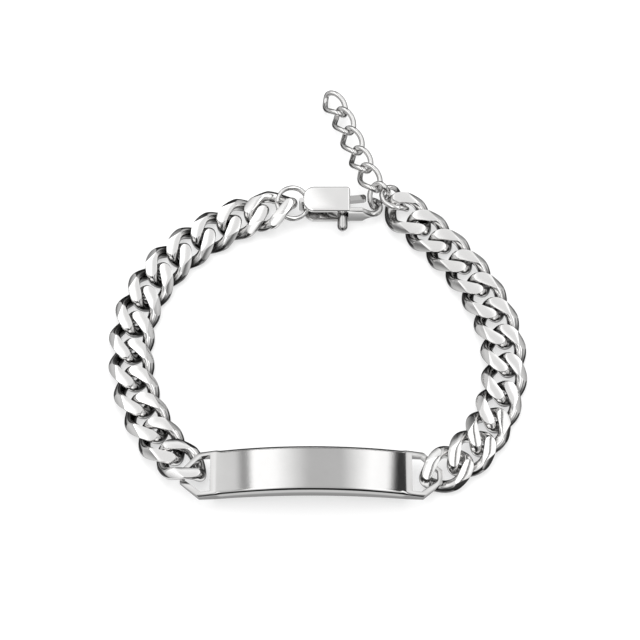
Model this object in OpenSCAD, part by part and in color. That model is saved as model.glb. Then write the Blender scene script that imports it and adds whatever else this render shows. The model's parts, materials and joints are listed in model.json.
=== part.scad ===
// Identity bracelet, lying closed on a flat surface: a blank arched plate, two lengths of
// diamond-cut curb chain, a split ring, a lobster clasp and a short extender chain.
// +X is right and +Y runs from the plate to the clasp. The surface is at z = 0.

/* [Curb chain] */
// Diameter of the chain's round wire, before its faces are cut flat
chain_wire_d = 2.1; // [1.9:0.05:2.2]
// Overall width of a curb link
link_w = 8.0; // [7.6:0.1:8.4]
// Height of a link between its cut faces
link_h = 3.0; // [2.8:0.05:3.2]
// Width of the flat cut face across the top of a link
link_flat_w = 5.5; // [5:0.1:6]
// Height that is left uncut at the link's outer edge
link_edge_h = 0.8; // [0.5:0.1:1.4]
// Distance along the chain from one link to the next
link_pitch = 5.28; // [5.2:0.01:5.4]
// Play between the wires of two nested links
link_play = 0.44; // [0.3:0.02:0.6]
// Twist of a link's ends out of its own plane, in degrees
link_twist = 55; // [50:1:60]
// Links on the left, from the split ring to the plate
left_links = 13; // [13]
// Links on the right, from the extender to the plate
right_links = 12; // [12]

/* [Plate] */
// Length of the plate with both end loops
plate_len = 44.3; // [43:0.1:45]
// Width of the plate
plate_w = 8.1; // [7:0.1:9]
// Thickness at the middle of the plate
plate_t = 2.9; // [2:0.1:3.5]
// Radius of the plate's arched top
plate_top_r = 56; // [45:1:90]
// Radius of the plate's hollow underside
plate_under_r = 77; // [65:1:120]
// Width of the bevel along the plate's long top edges
plate_bevel = 0.35; // [0.2:0.05:0.6]
// Length of the loop's opening along the plate
loop_l = 4.3; // [3.9:0.1:4.6]
// Width of the loop's strips and end bar
loop_bar_w = 0.85; // [0.7:0.05:1.1]
// Height of the loop's end bar
loop_bar_h = 0.8; // [0.6:0.05:1]
// Length of the loop's slanted corner along the plate
loop_corner_l = 3.3; // [2.5:0.1:3.6]
// Length of the loop's slanted corner across the plate
loop_corner_w = 2.9; // [2:0.1:3.1]
// Distance from the crease to the loop's opening
crease_gap = 0.9; // [0.5:0.1:1.5]
// Height of the middle of the end bars above the surface
bar_z = 2.4; // [2.2:0.05:2.6]

/* [Split ring] */
// Outer diameter of the split ring
ring_d = 6.35; // [6.25:0.05:6.45]
// Diameter of the ring's wire
ring_wire_d = 0.85; // [0.7:0.05:0.9]
// Rise from one turn of the ring to the next
ring_step = 0.75; // [0.6:0.05:0.8]

/* [Clasp] */
// Length of the clasp's body, without its hook
body_l = 8.3; // [8:0.1:8.6]
// Width of the clasp's body
body_w = 4.9; // [4.6:0.1:5.2]
// Height of the clasp's body
body_h = 4.4; // [4:0.1:4.6]
// Thickness of the body's top and bottom plates
body_plate_t = 0.8; // [0.6:0.05:1]
// Thickness of the body's back wall
body_wall = 0.7; // [0.5:0.05:1]
// Diameter of the tail post that the split ring turns on
post_d = 0.9; // [0.7:0.05:1]
// Length of the hook beyond the body
hook_l = 5.9; // [5.7:0.1:6.1]
// Thickness of the hook's round end
hook_d = 1.1; // [0.9:0.05:1.2]
// Diameter of the thumb nub
nub_d = 1.8; // [1.4:0.1:2.1]
// Distance that the nub stands out of the body
nub_l = 2.9; // [2:0.1:3.5]
// Diameter of the lever's pin
pin_d = 1.0; // [0.8:0.05:1.2]
// Thickness of the gate
gate_t = 1.0; // [0.8:0.05:1.2]
// Clearance between parts that move on each other
fit_gap = 0.12; // [0.1:0.01:0.2]

/* [Extender] */
// Diameter of the extender's wire
ext_wire_d = 0.94; // [0.8:0.02:1]
// Width of an extender link
ext_w = 4.38; // [4.2:0.02:4.5]
// Length of an extender link
ext_l = 6.74; // [6.6:0.02:6.9]

/* [Hidden] */
eps = 0.01;
wire_sections = 16;
wire_sides = 6;
small_sections = 12;
// From the drawing's origin to the middle of the part's box
centre_shift = [0.45, -5.32];

// Where the plate's middle lies, its two ends, and both ends of the clasp's body
plate_at = [-1.5, -30.4];
plate_left = plate_at.x - plate_len/2;
plate_right = plate_at.x + plate_len/2;
body_right = 5.35;
body_left = body_right - body_l;

// The chains' routes over the surface, as points chosen by hand: the left one from the plate to
// the clasp and the right one on from there to the plate. End points only steer the curve's ends.
route = [
  [
    [plate_left + 17.65, -42.2], [plate_left + 0.25, -28], [-31.6, -14.5], [-32, 0.3], [-24.3, 12.7],
    [body_left - 5.75, 20.9], [body_left + 8.35, 18.3]
  ],
  [
    [0.4, 33], [15.6, 19.9], [26.9, 7], [31.7, -5.6], [30.2, -18.1],
    [plate_right + 1.25, -30.3], [plate_right - 10.35, -32.7]
  ]
];
// How the links by the plate and the clasp lie where they don't follow the route flat:
// [side, link, [x, y, z of its middle], heading, nose up, roll to the inside], angles in degrees
laid = [
  [0, 1, [body_left - 5.8, 20.45, 2.55], 12, 15, -9],
  [0, 2, [body_left - 10.8, 19.3, 1.75], 22, 2, -3],
  [0, left_links - 1, [plate_left - 3.3, -23.95, 1.75], 126, -3, 5],
  [0, left_links, [plate_left + 0.2, -27.8, 2.25], 141, -7, 14],
  [1, 1, [15.75, 19.55, 1.8], -46, -1, -2],
  [1, right_links - 3, [30.55, -17.1, 1.75], -109, 3, -5],
  [1, right_links - 2, [28.4, -21.9, 2.25], -119, 7, -14],
  [1, right_links - 1, [plate_right + 4.75, -26, 2.5], -138, 1, -18],
  [1, right_links, [plate_right + 0.6, -29.05, 2.55], -154, 2, -25]
];
// How the extender's links lie, from its free end to the chain: [middle, heading, nose up, roll]
ext_laid = [
  [[2.7, 42.15, 2.25], -59, 9, 3],
  [[4.25, 38.15, 3.2], -72, 9, 14],
  [[5.75, 33.8, 3.7], -71, 6, 13],
  [[7.25, 29.45, 4.45], -70, 14, 11],
  [[8.85, 25.45, 5.1], -65, 3, 6],
  [[10.5, 22.7, 3.4], -109, -64, -35],
  [[13.4, 22.6, 2.45], -29, -32, -16]
];

link_half_l = (link_pitch + chain_wire_d + link_play)/2;
link_half_w = (link_w - chain_wire_d)/2;
ext_half_l = (ext_l - ext_wire_d)/2;
ext_half_w = (ext_w - ext_wire_d)/2;
spline_steps = 24;

function unit(v) = v/norm(v);
function two_digits(n) = str(n < 10 ? "0" : "", n);

// A point of the smooth curve between control points i and i + 1
function spline_point(k, i, t) =
  (2*k[i] + (k[i + 1] - k[i - 1])*t + (2*k[i - 1] - 5*k[i] + 4*k[i + 1] - k[i + 2])*t*t
  + (3*k[i] - k[i - 1] - 3*k[i + 1] + k[i + 2])*t*t*t)/2;
function spline(k) = [
  for (i = [1:len(k) - 3]) for (s = [0:spline_steps - 1]) spline_point(k, i, s/spline_steps),
  k[len(k) - 2]
];
function run_lengths(p) = [
  for (i = 0, s = 0; i < len(p); s = s + (i + 1 < len(p) ? norm(p[i + 1] - p[i]) : 0), i = i + 1) s
];
function column(runs, p, axis) = [for (i = [0:len(p) - 1]) [runs[i], p[i][axis]]];
function point_along(curve, s) = [lookup(s, curve[0]), lookup(s, curve[1])];

side_curves = [
  for (k = route) let (p = spline(k), runs = run_lengths(p))
    [column(runs, p, 0), column(runs, p, 1), runs[len(runs) - 1]]
];
link_counts = [left_links, right_links];

// Where a link lies: [middle, heading, nose up, roll]. Links lie flat along the route at equal
// steps, apart from those that the laid table names.
function flat_place(side, n) =
  let (curve = side_curves[side], steps = link_counts[side] - 1)
  let (s = curve[2]*(side == 0 ? steps + 1 - n : n - 1)/steps)
  let (p = point_along(curve, s), d = point_along(curve, s + 1) - point_along(curve, s - 1))
  [[p.x, p.y, link_h/2], atan2(d.y, d.x), 0, 0];
function link_place(side, n) =
  let (own = [for (r = laid) if (r[0] == side && r[1] == n) [r[2], r[3], r[4], r[5]]])
  len(own) > 0 ? own[0] : flat_place(side, n);

module lay(place) {
  translate(place[0]) rotate([place[3], -place[2], place[1]]) children();
}

// Middle of the wire of a twisted oval link, at angle t round it
function oval_point(half_l, half_w, twist, t) =
  let (f = -twist*cos(t))
  [half_l*cos(t), half_w*sin(t)*cos(f), half_w*sin(t)*sin(f)];
// Corners of the wire's section at c, square to the direction ahead, with the first facing out
function wire_section(c, ahead, out, r, sides) =
  let (n = unit(out - (out*ahead)*ahead), m = cross(ahead, n))
  [for (k = [0:sides - 1]) c + r*cos(360*k/sides)*n + r*sin(360*k/sides)*m];
// The sides between sections i and j of a wire, as triangles
function wire_strip(i, j, sides) = [
  for (k = [0:sides - 1]) let (l = (k + 1)%sides)
    each [[i*sides + k, j*sides + k, i*sides + l], [i*sides + l, j*sides + k, j*sides + l]]
];

module oval_link(half_l, half_w, wire_d, twist, sections) {
  step = 360/sections;
  points = [
    for (i = [0:sections - 1])
      let (c = oval_point(half_l, half_w, twist, i*step))
      let (next = oval_point(half_l, half_w, twist, i*step + 2))
      let (last = oval_point(half_l, half_w, twist, i*step - 2))
      each wire_section(c, unit(next - last), c, wire_d/2, wire_sides)
  ];
  faces = [for (i = [0:sections - 1]) each wire_strip(i, (i + 1)%sections, wire_sides)];
  polyhedron(points, faces);
}

module curb_link() {
  flat = link_flat_w/2;
  edge = link_w/2;
  intersection() {
    oval_link(link_half_l, link_half_w, chain_wire_d, link_twist, wire_sections);
    rotate([90, 0, 90])
      linear_extrude(4*link_half_l, center = true)
        polygon([
          [flat, link_h/2], [edge, link_edge_h/2], [edge, -link_edge_h/2], [flat, -link_h/2],
          [-flat, -link_h/2], [-edge, -link_edge_h/2], [-edge, link_edge_h/2], [-flat, link_h/2]
        ]);
  }
}

module chain_link(side, n) {
  color("silver") lay(link_place(side, n)) curb_link();
}

// Plate

// Heights of the plate's side view are measured from the middle of the end bars
bar_mid = plate_len/2 - loop_bar_w/2;
opening_out = plate_len/2 - loop_bar_w;
opening_in = opening_out - loop_l;
crease = opening_in - crease_gap;
loop_top_slope = 20;
top_at_crease = loop_bar_h/2 + (bar_mid - crease)*tan(loop_top_slope);
function arch_drop(r, x) = r - sqrt(r*r - x*x);
top_middle = top_at_crease + arch_drop(plate_top_r, crease);
under_middle = top_middle - plate_t;
under_at_crease = under_middle - arch_drop(plate_under_r, crease);
arch_steps = 12;

module plate_side_view() {
  tip = plate_len/2;
  tip_top = top_at_crease - (tip - crease)*tan(loop_top_slope);
  tip_under = -loop_bar_h/2;
  top = [
    for (i = [-arch_steps:arch_steps]) let (x = crease*i/arch_steps)
      [x, top_middle - arch_drop(plate_top_r, x)]
  ];
  under = [
    for (i = [arch_steps:-1:-arch_steps]) let (x = crease*i/arch_steps)
      [x, under_middle - arch_drop(plate_under_r, x)]
  ];
  polygon(concat([[-tip, tip_under], [-tip, tip_top]], top, [[tip, tip_top], [tip, tip_under]], under));
}

// The plate's outline with its slanted corners, drawn smaller by an inset. The corners shrink by a
// share of it, which keeps the slanted strip about as wide as the straight ones.
corner_share = 0.4;
module plate_outline(inset) {
  x = plate_len/2 - inset;
  y = plate_w/2 - inset;
  l = loop_corner_l - inset*corner_share;
  w = loop_corner_w - inset*corner_share;
  polygon([
    [x - l, y], [x, y - w], [x, -y + w], [x - l, -y],
    [-x + l, -y], [-x, -y + w], [-x, y - w], [-x + l, y]
  ]);
}

module plate_openings() {
  for (s = [0, 1])
    mirror([s, 0])
      intersection() {
        plate_outline(loop_bar_w);
        translate([opening_in, -plate_w/2]) square([loop_l + eps, plate_w]);
      }
}

// Two rings that follow the arch and take the bevel off its long edges. They reach past it by over.
module plate_bevel_cut() {
  over = 1;
  for (s = [-1, 1])
    translate([0, s*plate_w/2, top_middle - plate_top_r])
      rotate([90, 0, 0])
        rotate_extrude($fn = 96)
          polygon([
            [plate_top_r - plate_bevel, 0], [plate_top_r + over, -s*(plate_bevel + over)],
            [plate_top_r + over, s*over], [plate_top_r - plate_bevel, s*over]
          ]);
}

module id_plate() {
  color("gainsboro")
    translate([plate_at.x, plate_at.y, bar_z])
      difference() {
        intersection() {
          rotate([90, 0, 0]) linear_extrude(plate_w, center = true) plate_side_view();
          translate([0, 0, -plate_len/2]) linear_extrude(plate_len) plate_outline(0);
        }
        translate([0, 0, -plate_len/2]) linear_extrude(plate_len) plate_openings();
        plate_bevel_cut();
      }
}

// Split ring and clasp

// The height of the clasp's middle, and its body's front and back
clasp_z = 2.5;
body_front = 19.2;
body_back = body_front + body_w;
tail_back_r = 2.0;
tail_front_r = 0.9;
front_left_r = 0.7;
back_right_r = 0.6;
front_right_r = 0.3;
slot_h = body_h - 2*body_plate_t;
// The tail post stands near the middle of the tail's side, most of it out of the body's outline
post_at = [body_left - 0.3, body_front + body_w/2 - 0.1];
tail_gap = 1.6;

// The split ring hangs from the post with ring_gap between them, its middle ring_rise above the clasp's
ring_turn_r = (ring_d - ring_wire_d)/2;
ring_gap = 0.27;
ring_rise = 0.4;
ring_at = [
  post_at.x + (post_d + ring_wire_d)/2 + ring_gap - ring_turn_r, post_at.y + 0.05, clasp_z + ring_rise
];
ring_tilt = [14, 11];

// The lever: its pin, the hub round it, the heel that carries the nub, and the gate
pin_at = [body_right - 2.95, body_front + 2.2];
hub_r = 1.3;
heel_r = 0.8;
heel_at = [body_right - 1.35, body_front + 1];
gate_tip = [body_right + 2.4, body_back - 1.35];
gate_root = [body_right + 0.6, gate_tip.y - 0.2];
gate_h = 1.3;
lever_h = slot_h - 2*fit_gap;

// The hook: a flat arm along the front that narrows to a round end, up to the gate's tip
arm_w = 0.9;
arm_h = 4.0;
arm_root = 0.3;
arm_flat_l = 2.2;
arm_mid = body_front + 0.4;
arm_end_l = 0.1;
hook_sides = 10;
hook_turn_r = 1.4;
hook_mid = [body_right + hook_l - hook_turn_r - hook_d/2, arm_mid + hook_turn_r];
tip_gap = 0.4;
// Middle line of the hook's round end, from the front arm round to its tip. It starts hook_rise above
// the clasp's middle and ends tip_drop below it.
hook_rise = 0.1;
turn_sink = 0.25;
tip_drop = 0.3;
turn_from = -90;
turn_to = 30;
function hook_z(a) = clasp_z + hook_rise - turn_sink*(a - turn_from)/(turn_to - turn_from);
hook_end = [
  for (a = [turn_from:24:turn_to])
    [hook_mid.x + hook_turn_r*cos(a), hook_mid.y + hook_turn_r*sin(a), hook_z(a)],
  [hook_mid.x + hook_turn_r/2, hook_mid.y + hook_turn_r - hook_rise, clasp_z - turn_sink],
  [gate_tip.x + gate_t/2 + tip_gap, gate_tip.y, clasp_z - tip_drop]
];

module split_ring() {
  color("silver")
    for (s = [-1, 1])
      translate(ring_at)
        rotate([0, ring_tilt.y, 0]) rotate([ring_tilt.x, 0, 0]) translate([0, 0, s*ring_step/2])
        rotate_extrude($fn = 48) translate([ring_turn_r, 0]) circle(d = ring_wire_d, $fn = 24);
}

module corner(at, r) {
  translate(at) circle(r = r, $fn = 32);
}

module body_outline() {
  hull() {
    corner([body_left + tail_back_r, body_back - tail_back_r], tail_back_r);
    corner([body_left + tail_front_r, body_front + 2*tail_front_r], tail_front_r);
    corner([body_left + tail_front_r + front_left_r, body_front + front_left_r], front_left_r);
    corner([body_right - back_right_r, body_back - back_right_r], back_right_r);
    corner([body_right - front_right_r, body_front + front_right_r], front_right_r);
  }
}

// The space between the body's plates: open at the front and the hook, and at the tail for the ring
module body_slot() {
  translate([0, 0, clasp_z - slot_h/2])
    linear_extrude(slot_h) {
      translate([body_left - 1, body_front - 1]) square([body_l + 2, body_w - body_wall + 1]);
      translate([body_left - 1, body_front - 1]) square([tail_gap + 1, body_w + 2]);
    }
}

module hook() {
  points = [
    for (i = [0:len(hook_end) - 1])
      let (next = hook_end[min(i + 1, len(hook_end) - 1)], last = hook_end[max(i - 1, 0)])
      each wire_section(hook_end[i], unit(next - last), [0, 0, 1], hook_d/2, hook_sides)
  ];
  last_start = (len(hook_end) - 1)*hook_sides;
  start_cap = [for (k = [1:hook_sides - 2]) [0, k, k + 1]];
  end_cap = [for (k = [1:hook_sides - 2]) [last_start, last_start + k + 1, last_start + k]];
  sides = [for (i = [0:len(hook_end) - 2]) each wire_strip(i, i + 1, hook_sides)];
  polyhedron(points, concat(sides, start_cap, end_cap));
  hull() {
    translate([body_right - arm_root, arm_mid - arm_w/2, clasp_z - arm_h/2])
      cube([arm_root + arm_flat_l, arm_w, arm_h]);
    translate(hook_end[0]) rotate([0, 90, 0]) cylinder(d = hook_d, h = arm_end_l, $fn = 24);
  }
}

module clasp_body() {
  color("silver") {
    difference() {
      translate([0, 0, clasp_z - body_h/2]) linear_extrude(body_h) body_outline();
      body_slot();
    }
    translate([post_at.x, post_at.y, clasp_z - body_h/2]) cylinder(d = post_d, h = body_h, $fn = 48);
    hook();
  }
}

module lever_pin() {
  color("gray")
    translate([pin_at.x, pin_at.y, clasp_z - slot_h/2]) cylinder(d = pin_d, h = slot_h, $fn = 48);
}

module lever_outline() {
  hull() {
    corner(pin_at, hub_r);
    corner(heel_at, heel_r);
  }
  hull() {
    corner(pin_at, hub_r);
    corner(gate_root, gate_t/2);
  }
  hull() {
    corner(gate_root, gate_t/2);
    corner(gate_tip, gate_t/2);
  }
}

module clasp_lever() {
  color("silver") {
    difference() {
      translate([0, 0, clasp_z - lever_h/2]) linear_extrude(lever_h) lever_outline();
      translate([pin_at.x, pin_at.y, 0]) cylinder(d = pin_d + 2*fit_gap, h = 2*clasp_z, $fn = 48);
      // The gate beyond the body is lower than the lever inside it
      for (s = [-1, 1])
        translate([body_right + hook_l/2 + fit_gap, body_back, clasp_z + s*(gate_h/2 + lever_h/2)])
          cube([hook_l, 2*body_w, lever_h], center = true);
    }
    translate([heel_at.x, heel_at.y, clasp_z])
      rotate([90, 0, 0]) cylinder(d = nub_d, h = heel_at.y - body_front + nub_l - nub_d/2, $fn = 48);
    translate([heel_at.x, body_front - nub_l + nub_d/2, clasp_z]) sphere(d = nub_d, $fn = 48);
  }
}

// Extender

module extender_link(n) {
  color("silver")
    lay(ext_laid[n - 1])
      oval_link(ext_half_l, ext_half_w, ext_wire_d, link_twist, small_sections);
}

left_names = [for (n = [1:left_links]) str("link_left_", two_digits(n))];
right_names = [for (n = [1:right_links]) str("link_right_", two_digits(n))];
ext_names = [for (n = [1:len(ext_laid)]) str("extender_", n)];

// Moves the drawing so that the part's box is centred on the origin
module centred() {
  translate(centre_shift) children();
}

centred() id_plate();
for (n = [1:left_links])
  centred() chain_link(0, n);
for (n = [1:right_links])
  centred() chain_link(1, n);
centred() split_ring();
centred() clasp_body();
centred() clasp_lever();
centred() lever_pin();
for (n = [1:len(ext_laid)])
  centred() extender_link(n);
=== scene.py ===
import json
from math import cos, pi, radians, sin, sqrt

import bmesh
import bpy
import numpy as np
from mathutils import Matrix, Vector


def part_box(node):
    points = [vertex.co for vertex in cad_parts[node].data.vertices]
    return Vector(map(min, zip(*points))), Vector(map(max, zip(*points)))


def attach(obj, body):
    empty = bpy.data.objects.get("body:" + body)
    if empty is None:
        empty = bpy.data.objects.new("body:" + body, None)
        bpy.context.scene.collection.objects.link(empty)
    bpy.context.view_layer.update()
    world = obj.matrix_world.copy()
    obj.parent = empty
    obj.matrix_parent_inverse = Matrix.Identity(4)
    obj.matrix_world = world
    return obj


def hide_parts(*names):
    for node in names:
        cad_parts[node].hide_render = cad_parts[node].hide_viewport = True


bl_info = {
    "name": "Identity bracelet",
    "version": (1, 0, 0),
    "blender": (4, 5, 0),
    "location": "View3D > Sidebar > Bracelet",
    "description": "Dresses the solids of an identity bracelet in polished steel, on a white surface",
    "category": "Object",
}

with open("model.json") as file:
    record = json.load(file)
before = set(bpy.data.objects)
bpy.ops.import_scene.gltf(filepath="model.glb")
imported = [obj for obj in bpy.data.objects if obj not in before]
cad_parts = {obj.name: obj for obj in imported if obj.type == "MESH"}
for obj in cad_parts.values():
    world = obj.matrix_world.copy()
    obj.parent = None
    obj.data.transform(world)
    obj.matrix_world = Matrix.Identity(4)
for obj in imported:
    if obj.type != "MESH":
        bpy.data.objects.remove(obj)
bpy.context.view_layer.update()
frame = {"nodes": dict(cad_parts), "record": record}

MM = 0.001
# Two corners closer than this are at one place
TOUCH = 0.001 * MM
LINK_NODES = sorted(name for name in frame["nodes"] if name.startswith("link_"))
EXTENDER_NODES = sorted(name for name in frame["nodes"] if name.startswith("extender_"))
BODY_OF = {
    node: body
    for body, members in frame["record"]["behaviour"]["bodies"].items()
    for node in members
}


# Sizes and colours


def length(name, description, millimetres):
    return bpy.props.FloatProperty(
        name=name, description=description, default=millimetres * MM, unit="LENGTH", precision=5
    )


def turn(name, description, degrees):
    return bpy.props.FloatProperty(
        name=name, description=description, default=radians(degrees), unit="ROTATION"
    )


def colour(name, description, value):
    return bpy.props.FloatVectorProperty(
        name=name, description=description, default=value, subtype="COLOR", size=3, min=0, max=1
    )


def share(name, description, value):
    return bpy.props.FloatProperty(
        name=name, description=description, default=value, subtype="FACTOR", min=0, max=1
    )


class CurbLinkSettings(bpy.types.PropertyGroup):
    wire_d: length("Wire", "Diameter of the round wire before its faces are cut", 2.1)
    twist: turn("Twist", "Turn of the link's ends out of its own plane", 55)
    flat_w: length("Flat", "Width of the cut face across the top of a link", 5.5)
    edge_h: length("Edge", "Height left uncut at the outer edge", 0.8)
    rim: length("Rim", "Width of the rounding along the cut edges", 0.05)


class PlateSettings(bpy.types.PropertyGroup):
    top_r: length("Arch", "Radius of the arched top", 56)
    under_r: length("Hollow", "Radius of the hollow underside", 77)
    thickness: length("Thickness", "Thickness at the middle", 2.9)
    bar_w: length("Loop strip", "Width of the loops' strips and end bars", 0.85)
    bar_h: length("End bar", "Height of the end bars", 0.8)
    loop_l: length("Loop", "Length of a loop's opening", 4.3)
    corner_l: length("Corner length", "Length of a loop's slanted corner along the plate", 3.3)
    corner_w: length("Corner width", "Length of a loop's slanted corner across the plate", 2.9)
    crease_gap: length("Crease", "From the crease to the loop's opening", 0.9)
    bevel: length("Bevel", "Width of the rounding along the long top edges", 0.5)
    lean: length("Lean", "How far the long sides lean in at the top", 0.25)
    rim: length("Rim", "Rounding of the other edges", 0.2)


class ClaspSettings(bpy.types.PropertyGroup):
    plate_t: length("Wall", "Thickness of the top and bottom plates", 0.8)
    wall_t: length("Back wall", "Thickness of the back wall", 0.7)
    post_d: length("Post", "Diameter of the tail post", 0.9)
    hook_d: length("Hook", "Thickness of the hook's round end", 1.1)
    nub_d: length("Nub", "Diameter of the thumb nub", 1.8)
    gate_t: length("Gate", "Thickness of the gate", 1.0)
    crown: length("Crown", "Rounding round the clasp's outer faces", 0.7)
    rim: length("Rim", "Rounding of the clasp's other edges", 0.15)


class WireSettings(bpy.types.PropertyGroup):
    extender_d: length("Extender wire", "Diameter of the extender's wire", 0.94)
    extender_twist: turn("Twist", "Turn of an extender link's ends", 55)
    ring_d: length("Ring wire", "Diameter of the split ring's wire", 0.7)
    ring_step: length("Step", "Rise from one turn of the ring to the next", 0.75)


class FinishSettings(bpy.types.PropertyGroup):
    steel: colour("Steel", "Colour of the polished steel", (0.80, 0.795, 0.79))
    smudge: share("Smudges", "How much the polish varies", 0.06)
    floor: colour("Surface", "Colour of the surface below", (0.40, 0.40, 0.40))


SETTINGS = {
    "bracelet_link": CurbLinkSettings,
    "bracelet_plate": PlateSettings,
    "bracelet_clasp": ClaspSettings,
    "bracelet_wire": WireSettings,
    "bracelet_finish": FinishSettings,
}


# Materials

# Noise scales of the steel's marks, and how deep the marks are
SMUDGE_SCALE = 380.0
SCRATCH_SCALE = 900.0
WAVE_SCALE = 160.0
SCRATCH_STRETCH = (1.0, 14.0, 14.0)
SCRATCH_TURN = (0, 0, 0.2)
MARK_DEPTH = 0.02 * MM
TONE_SPREAD = 0.04
# Painted shade: how much light reaches the steel at some heights above the surface, painted into its
# colour so that it is darker low down between the parts: (millimetres, share)
LINK_PAINTED_SHADE = ((0.8, 0.15), (1.5, 0.30), (1.95, 0.75), (2.5, 1.0))
CLASP_PAINTED_SHADE = ((0.9, 0.9), (1.2, 0.6), (3.6, 0.6), (4.0, 1.0))


class Shade:
    """A shader socket's value, with Python's operators for arithmetic on numbers."""

    def __init__(self, made, socket):
        self.made = made
        self.socket = socket

    def maths(self, operation, first, second):
        return self.made.node("ShaderNodeMath", {"operation": operation}, {0: first, 1: second})

    def __add__(self, other):
        return self.maths("ADD", self, other)

    def __mul__(self, other):
        return self.maths("MULTIPLY", self, other)

    __radd__ = __add__
    __rmul__ = __mul__


class Nodes:
    """The node tree of a material or a world, and one way to add to it."""

    def __init__(self, owner):
        owner.use_nodes = True
        self.tree = owner.node_tree
        self.tree.nodes.clear()

    def node(self, kind, settings=None, values=None, out=0):
        made = self.tree.nodes.new(kind)
        for name, value in (settings or {}).items():
            if name == "stops":
                self.set_stops(made.color_ramp, value)
            else:
                setattr(made, name, value)
        for name, value in (values or {}).items():
            if isinstance(value, Shade):
                self.tree.links.new(value.socket, made.inputs[name])
            else:
                made.inputs[name].default_value = value
        return Shade(self, made.outputs[out]) if len(made.outputs) else made

    def set_stops(self, ramp, stops):
        while len(ramp.elements) < len(stops):
            ramp.elements.new(0.5)
        for element, (position, value) in zip(ramp.elements, stops):
            element.position = position
            element.color = (value, value, value, 1) if isinstance(value, float) else (*value, 1)

    def mix(self, factor, first, second):
        return self.node(
            "ShaderNodeMix", {"data_type": "RGBA"}, {0: factor, 6: first, 7: second}, out=2
        )

    def scaled(self, first, second):
        """The first colour multiplied by the second."""
        settings = {"data_type": "RGBA", "blend_type": "MULTIPLY"}
        return self.node("ShaderNodeMix", settings, {0: 1.0, 6: first, 7: second}, out=2)

    def split(self, vector):
        """The vector's three numbers."""
        made = self.tree.nodes.new("ShaderNodeSeparateXYZ")
        self.tree.links.new(vector.socket, made.inputs[0])
        return [Shade(self, socket) for socket in made.outputs]

    def ramp(self, factor, stops):
        return self.node("ShaderNodeValToRGB", {"stops": stops}, {0: factor})

    def noise(self, place, scale, detail=2.0, roughness=0.5):
        return self.node(
            "ShaderNodeTexNoise",
            {},
            {"Vector": place, "Scale": scale, "Detail": detail, "Roughness": roughness},
        )


def polished_steel(name, painted_brightness=1.0, roughness=0.09, scratches=0.0, waves=0.0, painted_shade=None):
    """Polished steel with faint smudges, hairline scratches and a slight waviness, and painted shade that
    darkens its colour low down between the parts.
    """
    finish = bpy.context.scene.bracelet_finish
    material = bpy.data.materials.new(name)
    shader = Nodes(material)
    place = shader.node("ShaderNodeTexCoord", out=3)
    smudge = shader.noise(place, SMUDGE_SCALE, 3.0)
    # Painted light and shade: the brightness factor makes lighter and darker copies of the one steel for
    # each piece, standing in for how brightly it is lit
    base = [channel * painted_brightness for channel in finish.steel]
    darker = [channel * (1 - TONE_SPREAD) for channel in base]
    lighter = [min(channel * (1 + TONE_SPREAD), 1) for channel in base]
    tone = shader.mix(smudge, (*darker, 1), (*lighter, 1))
    # Painted shade: the colour is darkened by height above the surface, standing in for the shade low down
    # between the parts
    if painted_shade:
        top = painted_shade[-1][0]
        stops = [(level / top, dark) for level, dark in painted_shade]
        tone = shader.scaled(tone, shader.ramp(shader.split(place)[2] * (1 / (top * MM)), stops))
    hairlines = shader.node(
        "ShaderNodeMapping", {}, {"Vector": place, "Scale": SCRATCH_STRETCH, "Rotation": SCRATCH_TURN}
    )
    scratch = shader.noise(hairlines, SCRATCH_SCALE, 4.0, 0.7)
    wave = shader.noise(place, WAVE_SCALE, 1.0)
    height = scratch * scratches + wave * waves
    bump = shader.node(
        "ShaderNodeBump", {}, {"Strength": 1.0, "Distance": MARK_DEPTH, "Height": height}
    )
    surface = shader.node(
        "ShaderNodeBsdfPrincipled",
        {},
        {
            "Base Color": tone,
            "Metallic": 1.0,
            "Roughness": smudge * finish.smudge + (roughness - finish.smudge / 2),
            "Normal": bump,
        },
    )
    shader.node("ShaderNodeOutputMaterial", {}, {"Surface": surface})
    return material


# Shapes


def smooth_object(name, bm, material, sharp_degrees=28.0):
    """Makes the mesh an object at the origin, smooth except along its sharp edges."""
    mesh = bpy.data.meshes.new(name)
    bm.to_mesh(mesh)
    bm.free()
    for polygon in mesh.polygons:
        polygon.use_smooth = True
    mesh.set_sharp_from_angle(angle=radians(sharp_degrees))
    mesh.materials.append(material)
    piece = bpy.data.objects.new(name, mesh)
    bpy.context.scene.collection.objects.link(piece)
    return piece


def dress(piece, node):
    """The piece stands for the solid, which it hides, and rides on its body."""
    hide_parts(node)
    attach(piece, BODY_OF[node])


def node_axes(node):
    """Where a solid lies: its middle and its long, wide and thin axes, from its surface's spread."""
    mesh = frame["nodes"][node].data
    mesh.calc_loop_triangles()
    places = np.array([v.co for v in mesh.vertices])
    corners = places[np.array([t.vertices for t in mesh.loop_triangles])]
    areas = np.array([t.area for t in mesh.loop_triangles])[:, None]
    weight = areas.sum()
    middle = (corners.mean(axis=1) * areas).sum(axis=0) / weight
    offset = corners - middle
    total = offset.sum(axis=1)
    spread = np.einsum("tki,tkj,t->ij", offset, offset, areas[:, 0])
    spread += np.einsum("ti,tj,t->ij", total, total, areas[:, 0])
    axes = np.linalg.eigh(spread)[1][:, ::-1]
    if np.linalg.det(axes) < 0:
        axes[:, 2] *= -1
    place = Matrix(axes.tolist()).to_4x4()
    place.translation = Vector(middle)
    local = (places - middle) @ axes
    return place, local.max(axis=0) - local.min(axis=0)


def each_once(parts):
    """The parts without repeats, in a steady order, so that every run gives the same mesh."""
    return list(dict.fromkeys(parts))


def section_place(point, ahead, outward):
    """A frame at the point whose Z runs ahead and whose X faces outward."""
    ahead = ahead.normalized()
    side = (outward - outward.dot(ahead) * ahead).normalized()
    place = Matrix((side, ahead.cross(side), ahead)).transposed().to_4x4()
    place.translation = point
    return place


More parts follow.
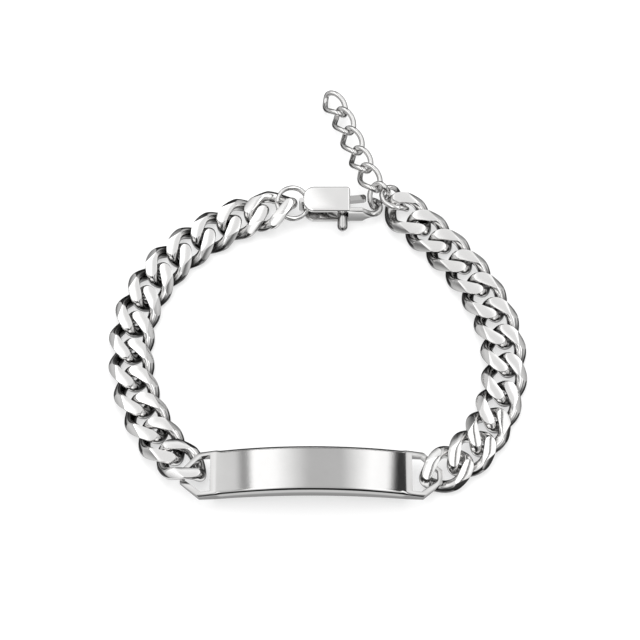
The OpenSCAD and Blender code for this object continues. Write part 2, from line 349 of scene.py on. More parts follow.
def tube(bm, places, radius, sides, closed):
    """Circles at the places, bridged into a tube."""
    rings = []
    for place in places:
        made = bmesh.ops.create_circle(bm, segments=sides, radius=radius, matrix=place)
        rings.append(each_once(edge for vert in made["verts"] for edge in vert.link_edges))
    following = rings[1:] + rings[:1] if closed else rings[1:]
    for ring, after in zip(rings, following):
        bmesh.ops.bridge_loops(bm, edges=ring + after)
    if not closed:
        for ring in (rings[0], rings[-1]):
            bmesh.ops.edgeloop_fill(bm, edges=ring)
    bmesh.ops.recalc_face_normals(bm, faces=bm.faces)


def cut_flat(bm, at, facing):
    """Cuts off what lies beyond the plane and closes the cut with flat faces."""
    everything = bm.verts[:] + bm.edges[:] + bm.faces[:]
    made = bmesh.ops.bisect_plane(
        bm, geom=everything, dist=1e-8, plane_co=at, plane_no=facing, clear_outer=True
    )
    rim = [part for part in made["geom_cut"] if isinstance(part, bmesh.types.BMEdge)]
    if rim:
        bmesh.ops.edgeloop_fill(bm, edges=rim)


def soften(bm, width, segments, sharper_than, chosen=None):
    """Rounds the edges at which the faces turn by more than the angle."""
    edges = [
        edge for edge in (bm.edges if chosen is None else chosen)
        if edge.is_manifold and edge.calc_face_angle(0) > sharper_than
    ]
    bmesh.ops.bevel(
        bm, geom=edges, offset=width, offset_type="OFFSET", segments=segments, profile=0.5,
        affect="EDGES", clamp_overlap=True, material=-1,
    )


def twisted_oval(half_l, half_w, twist, steps):
    """Places of the wire's sections round a twisted oval link."""

    def point(t):
        lean = -twist * cos(t)
        return Vector((half_l * cos(t), half_w * sin(t) * cos(lean), half_w * sin(t) * sin(lean)))

    places = []
    nearby = 0.01
    for step in range(steps):
        t = 2 * pi * step / steps
        ahead = point(t + nearby) - point(t - nearby)
        places.append(section_place(point(t), ahead, point(t)))
    return places


LINK_SECTIONS = 84
LINK_SIDES = 28
# How much narrower than its solid a link is, so that its rounder wire stays inside the solid's box
LINK_INSET = 0.02 * MM


def curb_link_shape(extent):
    """A twisted oval of round wire, cut flat above, below and along its shoulders."""
    size = bpy.context.scene.bracelet_link
    long, wide, high = (float(side) for side in extent)
    radius = size.wire_d / 2
    bm = bmesh.new()
    half_w = wide / 2 - radius - LINK_INSET
    places = twisted_oval(long / 2 - radius, half_w, size.twist, LINK_SECTIONS)
    tube(bm, places, radius, LINK_SIDES, True)
    run = wide / 2 - size.flat_w / 2
    drop = high / 2 - size.edge_h / 2
    for up in (-1, 1):
        cut_flat(bm, (0, 0, up * high / 2), (0, 0, up))
        for side in (-1, 1):
            shoulder = (0, side * wide / 2, up * size.edge_h / 2)
            cut_flat(bm, shoulder, (0, side * drop, up * run))
    soften(bm, size.rim, 2, radians(22))
    return bm


# Plate


def arch_drop(radius, x):
    return radius - sqrt(radius * radius - x * x)


class ArchedPlate:
    """The plate's heights and outline, worked out from its settings and its solid's box."""

    def __init__(self):
        size = bpy.context.scene.bracelet_plate
        low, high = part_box("id_plate")
        self.middle = (Vector(low) + Vector(high)) / 2
        self.half_l = (high[0] - low[0]) / 2
        self.half_w = (high[1] - low[1]) / 2
        self.opening_out = self.half_l - size.bar_w
        self.opening_in = self.opening_out - size.loop_l
        self.crease = self.opening_in - size.crease_gap
        self.top_middle = high[2]
        self.under_middle = high[2] - size.thickness
        self.top_at_crease = self.top_middle - arch_drop(size.top_r, self.crease)
        self.under_at_crease = self.under_middle - arch_drop(size.under_r, self.crease)
        self.bar_under = low[2]
        bar_top = low[2] + size.bar_h
        bar_mid = self.half_l - size.bar_w / 2
        self.top_slope = (self.top_at_crease - bar_top) / (bar_mid - self.crease)
        self.size = size

    def top(self, x):
        if abs(x) <= self.crease:
            return self.top_middle - arch_drop(self.size.top_r, x)
        return self.top_at_crease - (abs(x) - self.crease) * self.top_slope

    def under(self, x):
        if abs(x) <= self.crease:
            return self.under_middle - arch_drop(self.size.under_r, x)
        along = (abs(x) - self.crease) / (self.half_l - self.crease)
        return self.under_at_crease + (self.bar_under - self.under_at_crease) * along


def split(bm, at, facing, faces):
    """Draws a line over the faces where the plane meets them."""
    parts = each_once(part for face in faces for part in (*face.verts, *face.edges)) + list(faces)
    bmesh.ops.bisect_plane(bm, geom=parts, dist=1e-8, plane_co=at, plane_no=facing)


ARCH_STEPS = 120
# Edges at which the faces turn by more than this are rounded
CORNER_TURN = radians(40)
SIDE_CUTS = 7


def end_faces(bm, plate, side):
    return [face for face in bm.faces if side * face.calc_center_median().x > plate.crease]


def flat_outline(plate):
    """A flat sheet with slanted corners and a six-sided opening at each end."""
    size = plate.size
    half_l, half_w, bar_w = plate.half_l, plate.half_w, size.bar_w
    bm = bmesh.new()
    middle_part = Matrix.Diagonal((plate.crease, half_w, 1, 1))
    bmesh.ops.create_grid(bm, x_segments=ARCH_STEPS, y_segments=1, size=1, matrix=middle_part)
    for side in (-1, 1):
        crease_x = side * plate.crease
        rim = [edge for edge in bm.edges if all(abs(v.co.x - crease_x) < TOUCH / 10 for v in edge.verts)]
        made = bmesh.ops.extrude_edge_only(bm, edges=rim)
        ends = [part for part in made["geom"] if isinstance(part, bmesh.types.BMVert)]
        bmesh.ops.translate(bm, verts=ends, vec=(side * (half_l - plate.crease), 0, 0))
    for side in (-1, 1):
        for up in (-1, 1):
            # The slanted corner, and its inner line one strip further in
            facing = Vector((side * size.corner_w, up * size.corner_l, 0)).normalized()
            corner = Vector((side * (half_l - size.corner_l), up * half_w, 0))
            everything = bm.verts[:] + bm.edges[:] + bm.faces[:]
            bmesh.ops.bisect_plane(
                bm, geom=everything, dist=1e-8, plane_co=corner, plane_no=facing, clear_outer=True
            )
            split(bm, corner - facing * bar_w, facing, end_faces(bm, plate, side))
        for x in (plate.opening_in, plate.opening_out):
            split(bm, (side * x, 0, 0), (1, 0, 0), end_faces(bm, plate, side))
        for y in (half_w - bar_w, -half_w + bar_w):
            split(bm, (0, y, 0), (0, 1, 0), end_faces(bm, plate, side))
    facing = Vector((size.corner_w, size.corner_l)).normalized()
    corner = Vector((half_l - size.corner_l, half_w))
    opening = []
    for face in bm.faces:
        centre = face.calc_center_median()
        x, y = abs(centre.x), abs(centre.y)
        inside = plate.opening_in < x < plate.opening_out and y < half_w - bar_w
        if inside and (Vector((x, y)) - corner).dot(facing) < -bar_w:
            opening.append(face)
    bmesh.ops.delete(bm, geom=opening, context="FACES")
    past_crease = plate.crease + TOUCH / 10
    loop_edges = [edge for edge in bm.edges if all(abs(v.co.x) > past_crease for v in edge.verts)]
    bmesh.ops.dissolve_limit(bm, angle_limit=radians(0.01), verts=[], edges=loop_edges)
    return bm


def plate_shape(plate):
    """The flat outline given its arch and thickness, rounded edges and sides that lean in."""
    size = plate.size
    half_w = plate.half_w
    bm = flat_outline(plate)
    made = bmesh.ops.extrude_face_region(bm, geom=bm.faces[:])
    upper = {part for part in made["geom"] if isinstance(part, bmesh.types.BMVert)}
    for vert in bm.verts:
        vert.co.z = plate.top(vert.co.x) if vert in upper else plate.under(vert.co.x)
    # A line just inside each long edge keeps the broad top's shading flat
    beside_edge = half_w - 1.25 * size.bevel
    for y in (beside_edge, -beside_edge):
        broad = [
            face for face in bm.faces
            if all(v in upper and abs(v.co.x) < plate.crease + TOUCH for v in face.verts)
        ]
        split(bm, (0, y, 0), (0, 1, 0), broad)
    bmesh.ops.recalc_face_normals(bm, faces=bm.faces)
    top_rims = [
        edge for edge in bm.edges
        if edge.is_manifold and edge.calc_face_angle(0) >= CORNER_TURN
        and all(abs(abs(v.co.y) - half_w) < TOUCH and v in upper for v in edge.verts)
    ]
    bmesh.ops.bevel(
        bm, geom=top_rims, offset=size.bevel, offset_type="OFFSET", segments=8, profile=0.5,
        affect="EDGES", clamp_overlap=True, material=-1,
    )
    soften(bm, size.rim, 3, CORNER_TURN)
    lean_in(bm, plate)
    bmesh.ops.translate(bm, verts=bm.verts, vec=(plate.middle.x, plate.middle.y, 0))
    return bm


def lean_in(bm, plate):
    """Curves the long sides inwards towards the top, between the creases."""
    size = plate.size
    upright = []
    for edge in bm.edges:
        along = edge.verts[0].co - edge.verts[1].co
        on_side = all(abs(abs(v.co.y) - plate.half_w) < TOUCH for v in edge.verts)
        if on_side and abs(along.z) > 2 * abs(along.x):
            upright.append(edge)
    bmesh.ops.subdivide_edges(bm, edges=upright, cuts=SIDE_CUTS, use_grid_fill=True)
    for vert in bm.verts:
        x, y, z = vert.co
        if abs(y) > plate.half_w - size.bevel - TOUCH and abs(x) < plate.crease + TOUCH:
            rise = (z - plate.under(x)) / (plate.top(x) - plate.under(x))
            fade = min(1, (plate.crease - abs(x)) / size.crease_gap)
            vert.co.y = y - (1 if y > 0 else -1) * size.lean * fade * max(rise, 0) ** 3


# Clasp


def slab(bm, outline, low, high):
    """An upright slab whose plan is a polygon with rounded corners: (x, y, radius) each."""
    verts = [bm.verts.new((x, y, low)) for x, y, radius in outline]
    bm.faces.new(verts)
    for vert, (x, y, radius) in zip(verts, outline):
        bmesh.ops.bevel(
            bm, geom=[vert], offset=radius, offset_type="OFFSET", segments=8, profile=0.5,
            affect="VERTICES", clamp_overlap=True, material=-1,
        )
    made = bmesh.ops.extrude_face_region(bm, geom=bm.faces[:])
    moved = [part for part in made["geom"] if isinstance(part, bmesh.types.BMVert)]
    bmesh.ops.translate(bm, verts=moved, vec=(0, 0, high - low))
    bmesh.ops.recalc_face_normals(bm, faces=bm.faces)


def hulled_slab(discs, low, high):
    """The slab that wraps upright discs, given as (x, y, radius) each."""
    bm = bmesh.new()
    for x, y, radius in discs:
        for z in (low, high):
            bmesh.ops.create_circle(
                bm, segments=40, radius=radius, matrix=Matrix.Translation((x, y, z))
            )
    bmesh.ops.convex_hull(bm, input=bm.verts)
    bmesh.ops.dissolve_limit(bm, angle_limit=radians(1), verts=bm.verts, edges=bm.edges)
    bmesh.ops.recalc_face_normals(bm, faces=bm.faces)
    return bm


def combined(first, second, operation):
    """The first mesh with the second joined to it or cut out of it."""
    pair = []
    for bm in (first, second):
        mesh = bpy.data.meshes.new("part")
        bm.to_mesh(mesh)
        bm.free()
        pair.append(bpy.data.objects.new("part", mesh))
        bpy.context.scene.collection.objects.link(pair[-1])
    modifier = pair[0].modifiers.new("combine", "BOOLEAN")
    modifier.operation = operation
    modifier.solver = "EXACT"
    modifier.object = pair[1]
    evaluated = pair[0].evaluated_get(bpy.context.evaluated_depsgraph_get())
    result = bmesh.new()
    result.from_mesh(evaluated.to_mesh())
    evaluated.to_mesh_clear()
    for part in pair:
        mesh = part.data
        bpy.data.objects.remove(part)
        bpy.data.meshes.remove(mesh)
    bmesh.ops.remove_doubles(result, verts=result.verts, dist=1e-7)
    return result


def smooth_path(points, steps):
    """Points of the smooth curve through the given ones."""
    run = [2 * points[0] - points[1], *points, 2 * points[-1] - points[-2]]
    path = []
    for i in range(1, len(run) - 2):
        a, b, c, d = run[i - 1 : i + 3]
        for step in range(steps):
            t = step / steps
            second = 2 * a - 5 * b + 4 * c - d
            third = 3 * b - a - 3 * c + d
            path.append((2 * b + (c - a) * t + second * t * t + third * t**3) / 2)
    return [*path, points[-1]]


def path_places(path, outward):
    places = []
    for i, point in enumerate(path):
        ahead = path[min(i + 1, len(path) - 1)] - path[max(i - 1, 0)]
        places.append(section_place(point, ahead, outward))
    return places


def squared_section(bm, place, half_t, half_h, roundness):
    """A ring of edges between a circle and a rectangle, thin along its X and high along its Y."""
    made = bmesh.ops.create_circle(bm, segments=32, radius=1)
    for vert in made["verts"]:
        for axis, half in ((0, half_t), (1, half_h)):
            side = vert.co[axis]
            vert.co[axis] = half * (1 if side > 0 else -1) * abs(side) ** roundness
    bmesh.ops.transform(bm, matrix=place, verts=made["verts"])
    return each_once(edge for vert in made["verts"] for edge in vert.link_edges)


# Edges of the clasp at which the faces turn by more than this are rounded
CLASP_CORNER = radians(50)
# Sections along the narrowing arm and round the hook's turn
ARM_STEPS = 6
TURN_STEPS = 5
TURN_END = radians(30)
# How round the arm's section is at the body, and how fast it becomes fully round
ARM_ROUNDNESS = 0.35
ARM_EASE = 0.8


class LobsterClasp:
    """The clasp's sizes and places, measured from the middle of its lever's pin."""

    def __init__(self):
        size = bpy.context.scene.bracelet_clasp
        low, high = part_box("lever_pin")
        body_low, body_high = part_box("clasp_body")
        self.size = size
        self.pin = (Vector(low) + Vector(high)) / 2
        self.pin_r = (high.x - low.x) / 2
        self.half_h = (body_high.z - body_low.z) / 2
        self.slot_half_h = self.half_h - size.plate_t
        # The body's box, and its slanted corner at the tail
        self.left = -5.35 * MM
        self.right = 2.95 * MM
        self.front = -2.2 * MM
        self.back = 2.7 * MM
        self.slant_l = 1.1 * MM
        self.slant_w = 1.3 * MM
        # Roundings of the corners at the tail, at the slant's two ends and at the mouth
        self.tail_round = 2.0 * MM
        self.slant_rounds = (0.8 * MM, 0.7 * MM)
        self.mouth_rounds = (0.3 * MM, 0.6 * MM)
        self.tail_gap = 1.6 * MM
        self.post = Vector((self.left - 0.3 * MM, 0.15 * MM))
        self.heel = Vector((1.6 * MM, self.front + 1.0 * MM))
        self.heel_r = 0.8 * MM
        self.hub_r = 1.3 * MM
        self.fit_gap = 0.12 * MM
        self.gate_tip = Vector((5.35 * MM, self.back - 1.35 * MM))
        self.gate_root = Vector((self.right + 0.6 * MM, self.gate_tip.y - 0.2 * MM))
        self.gate_inside = Vector((self.right - 0.5 * MM, self.gate_root.y - 0.1 * MM))
        self.gate_half_h = 0.65 * MM
        self.lever_rim = 0.12 * MM
        self.nub_end = self.front - 2.9 * MM
        self.hook_r = size.hook_d / 2
        self.turn_r = 1.4 * MM
        self.arm_y = self.front + 0.4 * MM
        self.arm_half_t = 0.45 * MM
        self.arm_half_h = 2.0 * MM
        self.arm_start = self.right - 0.3 * MM
        self.arm_flat_end = self.right + 2.2 * MM
        hook_x = body_high.x - self.pin.x - self.turn_r - self.hook_r
        self.hook_mid = Vector((hook_x, self.arm_y + self.turn_r))
        # The hook starts above the clasp's middle and sinks below it towards its end
        self.hook_rise = 0.1 * MM
        self.hook_sink = 0.25 * MM
        self.hook_end = Vector((self.gate_tip.x + size.gate_t / 2 + 0.4 * MM, self.gate_tip.y, -0.3 * MM))


def clasp_shell_shape(clasp):
    """The clasp's body: two plates and a back wall, the tail post, and the hook on its arm."""
    size = clasp.size
    outline = [
        (clasp.left, clasp.back, clasp.tail_round),
        (clasp.left, clasp.front + clasp.slant_w, clasp.slant_rounds[0]),
        (clasp.left + clasp.slant_l, clasp.front, clasp.slant_rounds[1]),
        (clasp.right, clasp.front, clasp.mouth_rounds[0]),
        (clasp.right, clasp.back, clasp.mouth_rounds[1]),
    ]
    body = bmesh.new()
    slab(body, outline, -clasp.half_h, clasp.half_h)
    margin = 1.0 * MM
    for low_x, high_x, low_y, high_y in (
        (clasp.left - margin, clasp.right + margin, clasp.front - margin, clasp.back - size.wall_t),
        (clasp.left - margin, clasp.left + clasp.tail_gap, clasp.front - margin, clasp.back + margin),
    ):
        slot = bmesh.new()
        middle = Matrix.Translation(((low_x + high_x) / 2, (low_y + high_y) / 2, 0))
        sides = Matrix.Diagonal((high_x - low_x, high_y - low_y, 2 * clasp.slot_half_h, 1))
        bmesh.ops.create_cube(slot, size=1, matrix=middle @ sides)
        body = combined(body, slot, "DIFFERENCE")
    bmesh.ops.dissolve_limit(body, angle_limit=radians(0.5), verts=body.verts, edges=body.edges)
    outer = [
        edge for edge in body.edges
        if all(abs(abs(v.co.z) - clasp.half_h) < TOUCH / 10 for v in edge.verts)
    ]
    soften(body, size.crown, 6, CLASP_CORNER, outer)
    soften(body, size.rim, 3, CLASP_CORNER)
    post = bmesh.new()
    bmesh.ops.create_cone(
        post, cap_ends=True, segments=32, radius1=size.post_d / 2, radius2=size.post_d / 2,
        depth=2 * clasp.half_h - size.crown, matrix=Matrix.Translation((clasp.post.x, clasp.post.y, 0)),
    )
    body = combined(body, post, "UNION")
    body = combined(body, hook_shape(clasp), "UNION")
    bmesh.ops.translate(body, verts=body.verts, vec=clasp.pin)
    return body


def hook_shape(clasp):
    """The arm, tall and thin at the body, that narrows into the hook's round end."""
    bm = bmesh.new()
    rings = []
    flat_end, round_x = clasp.arm_flat_end, clasp.hook_mid.x
    for i in range(-1, ARM_STEPS + 1):
        narrowed = max(i, 0) / ARM_STEPS
        x = clasp.arm_start if i < 0 else flat_end + (round_x - flat_end) * narrowed
        blend = narrowed**ARM_EASE
        half_t = clasp.arm_half_t + (clasp.hook_r - clasp.arm_half_t) * blend
        half_h = clasp.arm_half_h + (clasp.hook_r - clasp.arm_half_h) * blend
        middle = Vector((x, clasp.arm_y, clasp.hook_rise * blend))
        place = section_place(middle, Vector((1, 0, 0)), Vector((0, 1, 0)))
        roundness = ARM_ROUNDNESS + (1 - ARM_ROUNDNESS) * blend
        rings.append(squared_section(bm, place, half_t, half_h, roundness))
    points = []
    for i in range(TURN_STEPS + 1):
        a = -pi / 2 + (TURN_END + pi / 2) * i / TURN_STEPS
        at = clasp.hook_mid + clasp.turn_r * Vector((cos(a), sin(a)))
        points.append(Vector((at.x, at.y, clasp.hook_rise - clasp.hook_sink * i / TURN_STEPS)))
    over = clasp.hook_mid + Vector((clasp.turn_r / 2, clasp.turn_r - 0.1 * MM))
    points.append(Vector((over.x, over.y, -clasp.hook_sink)))
    points.append(clasp.hook_end)
    for place in path_places(smooth_path(points, 5), Vector((0, 0, 1)))[1:]:
        turned = place @ Matrix.Rotation(pi / 2, 4, "Z")
        rings.append(squared_section(bm, turned, clasp.hook_r, clasp.hook_r, 1.0))
    for ring, after in zip(rings, rings[1:]):
        bmesh.ops.bridge_loops(bm, edges=ring + after)
    for ring in (rings[0], rings[-1]):
        bmesh.ops.edgeloop_fill(bm, edges=ring)
    bmesh.ops.recalc_face_normals(bm, faces=bm.faces)
    return bm


def trigger_shape(clasp):
    """The lever: a hub round the pin, a heel with the thumb nub, and the gate across the hook."""
    size = clasp.size
    high = clasp.slot_half_h - clasp.fit_gap
    gate_r = size.gate_t / 2
    hub = (0, 0, clasp.hub_r)
    heel = (*clasp.heel, clasp.heel_r)
    root = (*clasp.gate_root, gate_r)
    inside = (*clasp.gate_inside, gate_r)
    rear, front = hulled_slab([hub, heel], -high, high), hulled_slab([hub, inside], -high, high)
    lever = combined(rear, front, "UNION")
    for discs in ([inside, root], [root, (*clasp.gate_tip, gate_r)]):
        lever = combined(lever, hulled_slab(discs, -clasp.gate_half_h, clasp.gate_half_h), "UNION")
    hole = bmesh.new()
    hole_r = clasp.pin_r + clasp.fit_gap
    bmesh.ops.create_cone(hole, cap_ends=True, segments=40, radius1=hole_r, radius2=hole_r, depth=4 * high)
    lever = combined(lever, hole, "DIFFERENCE")
    bmesh.ops.dissolve_limit(lever, angle_limit=radians(0.5), verts=lever.verts, edges=lever.edges)
    soften(lever, clasp.lever_rim, 3, CLASP_CORNER)
    nub = bmesh.new()
    radius = size.nub_d / 2
    reach = clasp.heel.y - clasp.nub_end
    profile = [Vector((0, 0, 0)), Vector((radius, 0, 0)), Vector((radius, 0, reach - radius))]
    rounding = 8
    for i in range(1, rounding + 1):
        a = pi / 2 * i / rounding
        profile.append(Vector((radius * cos(a), 0, reach - radius + radius * sin(a))))
    verts = [nub.verts.new(point) for point in profile]
    edges = [nub.edges.new(pair) for pair in zip(verts, verts[1:])]
    bmesh.ops.spin(
        nub, geom=verts + edges, cent=(0, 0, 0), axis=(0, 0, 1), angle=2 * pi, steps=40, use_merge=True
    )
    bmesh.ops.remove_doubles(nub, verts=nub.verts, dist=1e-7)
    bmesh.ops.recalc_face_normals(nub, faces=nub.faces)
    bmesh.ops.rotate(nub, verts=nub.verts, cent=(0, 0, 0), matrix=Matrix.Rotation(pi / 2, 3, "X"))
    bmesh.ops.translate(nub, verts=nub.verts, vec=(clasp.heel.x, clasp.heel.y, 0))
    lever = combined(lever, nub, "UNION")
    bmesh.ops.translate(lever, verts=lever.verts, vec=clasp.pin)
    return lever


# Turns of the ring's wire, and where and how fast it steps over to the next turn
RING_TURNS = 1.94
STEP_FROM = 0.88
STEP_TURNS = 0.18
RING_START = radians(200)
RING_SECTIONS = 150
RING_SIDES = 20
RING_END_RIM = 0.08 * MM
EXTENDER_SECTIONS = 72
EXTENDER_SIDES = 20
# How much shorter than its solid an extender link is, so that it stays inside the solid's box
EXTENDER_INSET = 0.1 * MM


def split_ring_shape():
    """Two turns of one wire that step over to each other, with flat cut ends."""
    size = bpy.context.scene.bracelet_wire
    place, extent = node_axes("split_ring")
    radius = size.ring_d / 2
    turn_r = float(extent[:2].mean()) / 2 - radius
    up = place.col[2].to_3d().normalized()
    if up.z < 0:
        up = -up
    middle = place.translation
    right = (Vector((1, 0, 0)) - up.x * up).normalized()
    back = up.cross(right)
    path = []
    for i in range(RING_SECTIONS + 1):
        turns = RING_TURNS * i / RING_SECTIONS
        stepped = min(max((turns - STEP_FROM) / STEP_TURNS, 0), 1)
        eased = stepped * stepped * (3 - 2 * stepped)
        a = 2 * pi * turns + RING_START
        rise = size.ring_step * (eased - 0.5)
        path.append(middle + turn_r * (cos(a) * right + sin(a) * back) + rise * up)
    bm = bmesh.new()
    places = []
    for i, point in enumerate(path):
        ahead = path[min(i + 1, RING_SECTIONS)] - path[max(i - 1, 0)]
        places.append(section_place(point, ahead, point - middle))
    tube(bm, places, radius, RING_SIDES, False)
    soften(bm, RING_END_RIM, 2, radians(60))
    return bm


# Operators


class BRACELET_OT_stage(bpy.types.Operator):
    """Lays the white surface, hangs the studio lights and sets the camera"""

    bl_idname = "bracelet.stage"
    bl_label = "Stage"

    def execute(self, context):
        scene = context.scene
        scene.view_settings.view_transform = "Standard"
        bm = bmesh.new()
        bmesh.ops.create_grid(bm, x_segments=1, y_segments=1, size=1.5)
        mesh = bpy.data.meshes.new("surface")
        bm.to_mesh(mesh)
        bm.free()
        mesh.materials.append(white_surface())
        floor = bpy.data.objects.new("surface", mesh)
        scene.collection.objects.link(floor)
        floor.visible_glossy = False
        light_tent(scene)
        set_camera(scene)
        return {"FINISHED"}


GRAIN_SCALE = 260.0
GRAIN_SHADE = 0.995
SURFACE_GLOW = 0.58
# The soft lamps: (name, place, diameter, power)
LAMPS = (
    ("over_back", (0.05, 0.35, 0.75), 0.8, 4.0),
    ("over_front", (-0.2, -0.2, 0.8), 0.8, 2.2),
)


def white_surface():
    """Pale material with a fine grain and a faint glow, so that it renders white."""
    material = bpy.data.materials.new("white_surface")
    shader = Nodes(material)
    place = shader.node("ShaderNodeTexCoord", out=3)
    grain = shader.noise(place, GRAIN_SCALE, 3.0)
    tone = bpy.context.scene.bracelet_finish.floor
    darker = [channel * GRAIN_SHADE for channel in tone]
    inputs = {
        "Base Color": shader.mix(grain, (*darker, 1), (*tone, 1)),
        "Roughness": 0.9,
        "Specular IOR Level": 0.1,
        "Emission Color": (1, 1, 1, 1),
        "Emission Strength": SURFACE_GLOW,
    }
    surface = shader.node("ShaderNodeBsdfPrincipled", {}, inputs)
    shader.node("ShaderNodeOutputMaterial", {}, {"Surface": surface})
    return material


def light_tent(scene):
    """A pale tent with a dark rim low down, panels of light above, and two soft lamps."""
    scene.world = bpy.data.worlds.new("tent")
    shader = Nodes(scene.world)
    towards = shader.node("ShaderNodeTexCoord", out=0)
    across, deep, high = shader.split(towards)
    from_left = across * 0.5 + 0.5
    height = high * 0.5 + 0.5
    front_dark = shader.ramp(
        height,
        [
            (0.0, 0.42), (0.05, 0.46), (0.075, 0.95), (0.15, 0.95), (0.18, 0.06), (0.50, 0.015),
            (0.73, 0.015), (0.765, 0.55), (0.82, 0.78), (0.90, 0.85), (1.0, 0.9),
        ],
    )
    front_light = shader.ramp(
        height,
        [
            (0.0, 0.45), (0.075, 0.95), (0.17, 0.95), (0.28, 0.5), (0.36, 0.06), (0.55, 0.04),
            (0.66, 0.3), (0.71, 1.0),
        ],
    )
    between_panels = shader.ramp(
        from_left,
        [
            (0.25, 1.0), (0.31, 0.0), (0.38, 0.0), (0.43, 1.0), (0.62, 1.0), (0.66, 0.0), (0.72, 0.0),
            (0.75, 1.0),
        ],
    )
    in_front = shader.mix(between_panels, front_light, front_dark)
    behind = shader.ramp(
        height,
        [
            (0.0, 0.45), (0.10, 0.30), (0.16, 0.05), (0.25, 0.05), (0.31, 0.42), (0.55, 0.55),
            (0.60, 0.15), (0.65, 0.15), (0.71, 0.95), (1.0, 0.92),
        ],
    )
    straight_behind = shader.ramp(
        height, [(0.0, 0.45), (0.10, 0.03), (0.69, 0.03), (0.76, 1.0), (1.0, 0.92)]
    )
    in_line = shader.ramp(from_left, [(0.28, 0.0), (0.36, 1.0), (0.64, 1.0), (0.72, 0.0)])
    behind = shader.mix(in_line, behind, straight_behind)
    facing_back = shader.ramp(deep * 0.5 + 0.5, [(0.42, 0.0), (0.58, 1.0)])
    rim = shader.mix(facing_back, in_front, behind)
    to_the_side = shader.ramp(from_left, [(0.12, 1.0), (0.30, 0.0), (0.70, 0.0), (0.88, 1.0)])
    near_horizon = shader.ramp(height, [(0.06, 0.0), (0.12, 1.0), (0.62, 1.0), (0.78, 0.0)])
    side_wall = shader.ramp(
        height, [(0.10, 0.45), (0.18, 0.05), (0.36, 0.04), (0.41, 0.50), (0.64, 0.70), (0.74, 0.30)]
    )
    rise = shader.mix(shader.scaled(to_the_side, near_horizon), rim, side_wall)
    panels = shader.ramp(
        from_left,
        [
            (0.0, 1.5), (0.20, 1.6), (0.235, 1.22), (0.278, 1.15), (0.296, 0.52), (0.314, 0.70),
            (0.322, 2.0), (0.39, 1.9), (0.49, 0.86), (0.59, 0.88), (0.676, 1.95), (0.725, 1.85),
            (0.745, 0.06), (0.768, 0.06), (0.79, 1.3), (0.83, 1.6), (1.0, 1.5),
        ],
    )
    high_up = shader.ramp(high, [(0.55, 0.0), (0.70, 1.0)])
    light = shader.mix(high_up, rise, shader.scaled(rise, panels))
    background = shader.node("ShaderNodeBackground", {}, {"Color": light, "Strength": 1.0})
    shader.node("ShaderNodeOutputWorld", {}, {"Surface": background})
    for name, at, size, power in LAMPS:
        lamp_light = bpy.data.lights.new(name, "AREA")
        lamp_light.shape = "DISK"
        lamp_light.size = size
        lamp_light.energy = power
        lamp = bpy.data.objects.new(name, lamp_light)
        lamp.location = at
        lamp.rotation_euler = (-Vector(at)).to_track_quat("-Z", "Y").to_euler()
        lamp.visible_glossy = False
        scene.collection.objects.link(lamp)


def set_camera(scene):
    """The photograph's view: from the plate's side, 65 degrees above the surface."""
    elevation = radians(65)
    distance = 400 * MM
    target = Vector((0.45, -5.32, 0)) * MM
    camera = bpy.data.cameras.new("view")
    camera.lens = 128.25
    camera.sensor_width = 36
    camera.clip_start = 0.01
    viewer = bpy.data.objects.new("view", camera)
    viewer.location = target + distance * Vector((0, -cos(elevation), sin(elevation)))
    viewer.rotation_euler = (pi / 2 - elevation, 0, 0)
    scene.collection.objects.link(viewer)
    scene.camera = viewer


class BRACELET_OT_curb_links(bpy.types.Operator):
    """Makes the curb links of both chains"""

    bl_idname = "bracelet.curb_links"
    bl_label = "Curb links"

    def execute(self, context):
        # Painted light and shade: the links' steel is painted brighter than the plate's, and darker low
        # down between the links
        material = polished_steel("link_steel", painted_brightness=1.12, scratches=0.2, waves=8.0, painted_shade=LINK_PAINTED_SHADE)
        extent = node_axes(LINK_NODES[4])[1]
        pattern = curb_link_shape(extent)
        for node in LINK_NODES:
            bm = pattern.copy()
            bmesh.ops.transform(bm, matrix=node_axes(node)[0], verts=bm.verts)
            dress(smooth_object("curb_" + node, bm, material), node)
        pattern.free()
        return {"FINISHED"}


class BRACELET_OT_plate(bpy.types.Operator):
    """Makes the blank identity plate"""

    bl_idname = "bracelet.plate"
    bl_label = "Plate"

    def execute(self, context):
        # Painted shade: the plate's steel is painted darker than the links'
        material = polished_steel("plate_steel", painted_brightness=0.69, roughness=0.05, scratches=0.1, waves=0.1)
        piece = smooth_object("identity_plate", plate_shape(ArchedPlate()), material, sharp_degrees=20)
        dress(piece, "id_plate")
        return {"FINISHED"}


class BRACELET_OT_clasp(bpy.types.Operator):
    """Makes the clasp's body and its lever, and finishes the lever's pin"""

    bl_idname = "bracelet.clasp"
    bl_label = "Clasp"

    def execute(self, context):
        # Painted light and shade: the clasp's steel is painted brighter than the plate's, and darker
        # inside its slot
        material = polished_steel(
            "clasp_steel", painted_brightness=1.15, roughness=0.08, scratches=0.1, waves=1.5, painted_shade=CLASP_PAINTED_SHADE
        )
        clasp = LobsterClasp()
        shell = smooth_object("clasp_shell", clasp_shell_shape(clasp), material, sharp_degrees=35)
        dress(shell, "clasp_body")
        trigger = smooth_object("clasp_trigger", trigger_shape(clasp), material, sharp_degrees=35)
        dress(trigger, "clasp_lever")
        pin = frame["nodes"]["lever_pin"]
        pin.data.materials.clear()
        # Painted shade: the pin's steel is painted darker than the links'
        pin.data.materials.append(polished_steel("pin_steel", painted_brightness=0.8, roughness=0.25, scratches=0.6))
        return {"FINISHED"}


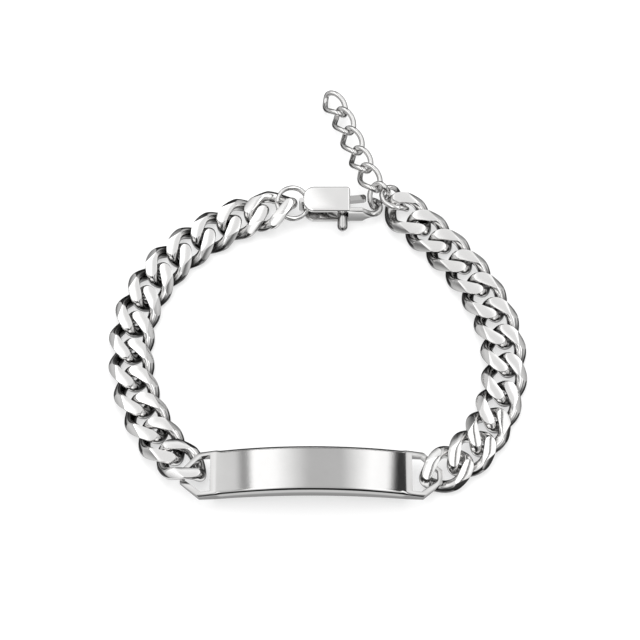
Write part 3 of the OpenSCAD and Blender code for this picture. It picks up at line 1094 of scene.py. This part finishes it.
class BRACELET_OT_wire_pieces(bpy.types.Operator):
    """Makes the split ring and the extender's links"""

    bl_idname = "bracelet.wire_pieces"
    bl_label = "Ring and extender"

    def execute(self, context):
        # Painted shade: the ring's and extender's steel is painted darker than the links'
        material = polished_steel("wire_steel", painted_brightness=0.92, roughness=0.08, scratches=0.2, waves=0.6)
        ring = smooth_object("coil_ring", split_ring_shape(), material, sharp_degrees=40)
        dress(ring, "split_ring")
        size = context.scene.bracelet_wire
        radius = size.extender_d / 2
        for node in EXTENDER_NODES:
            place, extent = node_axes(node)
            half_l = float(extent[0]) / 2 - radius - EXTENDER_INSET
            half_w = float(extent[1]) / 2 - radius
            bm = bmesh.new()
            places = twisted_oval(half_l, half_w, size.extender_twist, EXTENDER_SECTIONS)
            tube(bm, places, radius, EXTENDER_SIDES, True)
            bmesh.ops.transform(bm, matrix=place, verts=bm.verts)
            dress(smooth_object("loop_" + node, bm, material), node)
        return {"FINISHED"}


OPERATORS = (
    BRACELET_OT_stage,
    BRACELET_OT_curb_links,
    BRACELET_OT_plate,
    BRACELET_OT_clasp,
    BRACELET_OT_wire_pieces,
)


class BRACELET_PT_pieces(bpy.types.Panel):
    """The bracelet's pieces and their sizes"""

    bl_label = "Bracelet"
    bl_space_type = "VIEW_3D"
    bl_region_type = "UI"
    bl_category = "Bracelet"

    def draw(self, context):
        for operator in OPERATORS:
            self.layout.operator(operator.bl_idname)
        for name, group in SETTINGS.items():
            for field in group.__annotations__:
                self.layout.prop(getattr(context.scene, name), field)


def register():
    for name, group in SETTINGS.items():
        bpy.utils.register_class(group)
        setattr(bpy.types.Scene, name, bpy.props.PointerProperty(type=group))
    for made in (*OPERATORS, BRACELET_PT_pieces):
        bpy.utils.register_class(made)


def unregister():
    for made in (BRACELET_PT_pieces, *reversed(OPERATORS)):
        bpy.utils.unregister_class(made)
    for name, group in SETTINGS.items():
        delattr(bpy.types.Scene, name)
        bpy.utils.unregister_class(group)


def main():
    register()
    bpy.ops.bracelet.stage()
    bpy.ops.bracelet.curb_links()
    bpy.ops.bracelet.plate()
    bpy.ops.bracelet.clasp()
    bpy.ops.bracelet.wire_pieces()


if __name__ == "__main__":
    main()
